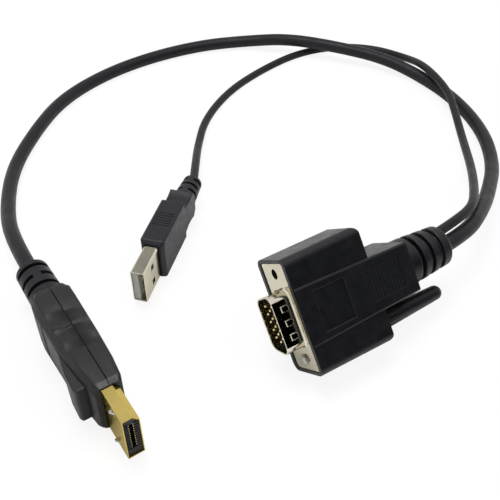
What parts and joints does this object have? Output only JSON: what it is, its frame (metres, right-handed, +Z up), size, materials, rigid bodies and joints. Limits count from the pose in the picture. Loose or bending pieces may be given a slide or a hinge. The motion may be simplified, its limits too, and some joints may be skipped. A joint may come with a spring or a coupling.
{
  "type": "kvm cable",
  "caption": "Black Y cable: a screw-fixed D plug whose thick cord runs to a latching display plug and whose thin cord runs to a flat data plug, lying in a loose loop.",
  "frame": {"origin": "on the table, under the middle of the D plug's box (its hood, shells, pins and thumbscrew)", "axes": "+Y back along the D plug from its mating face to its cords, +Z up from the table"},
  "size_m": [0.1864, 0.1956, 0.0341],
  "materials": {
    "hood": "black moulding, slightly shiny",
    "cover": "dark grey moulding, satin",
    "data_body": "dark grey moulding, satin",
    "insulator": "black, matt",
    "tongue": "off white, matt",
    "cord": "soft sheath, satin",
    "nickel": "warm nickel plate",
    "screw": "bright steel",
    "gold_shell": "gold plate",
    "contact": "gold plate"
  },
  "bodies": {
    "cable": {"dsub_hood": "hood", "dsub_shell": "nickel", "dsub_back_shell": "nickel", "dsub_insulator": "insulator", "dsub_pins": "contact", "data_plug_body": "data_body", "data_plug_shell": "nickel", "data_plug_tongue": "tongue", "data_plug_contacts": "contact", "video_plug_cover_plain": "cover", "video_plug_cover_latch": "cover", "video_plug_boot": "cord", "video_plug_shell": "gold_shell", "video_plug_insulator": "insulator", "video_plug_contacts": "contact", "video_cord": "cord", "data_cord": "cord"},
    "thumbscrew": {"thumbscrew_knob": "hood", "thumbscrew_shank": "screw"},
    "release_button": {"video_plug_button": "cover"},
    "latch": {"video_plug_latch": "screw"}
  },
  "joints": [
    {"name": "thumbscrew_turn", "type": "hinge", "parent": "cable", "child": "thumbscrew", "pos_m": [0.00803, 0, 0.00748], "axis": [0, 1, 0], "continuous": true},
    {"name": "button_press", "type": "hinge", "parent": "cable", "child": "release_button", "pos_m": [-0.0324, -0.08088, 0.0095], "axis": [0, 0, 1], "range_deg": [0, 1.4], "stiffness_Nm_per_rad": 1},
    {"name": "latch_flex", "type": "hinge", "parent": "cable", "child": "latch", "pos_m": [-0.02727, -0.07695, 0.0095], "axis": [0, 0, 1], "range_deg": [0, 1.85]}
  ],
  "couplings": [
    {"joint": "latch_flex", "follows": "button_press", "ratio": 1.32}
  ]
}
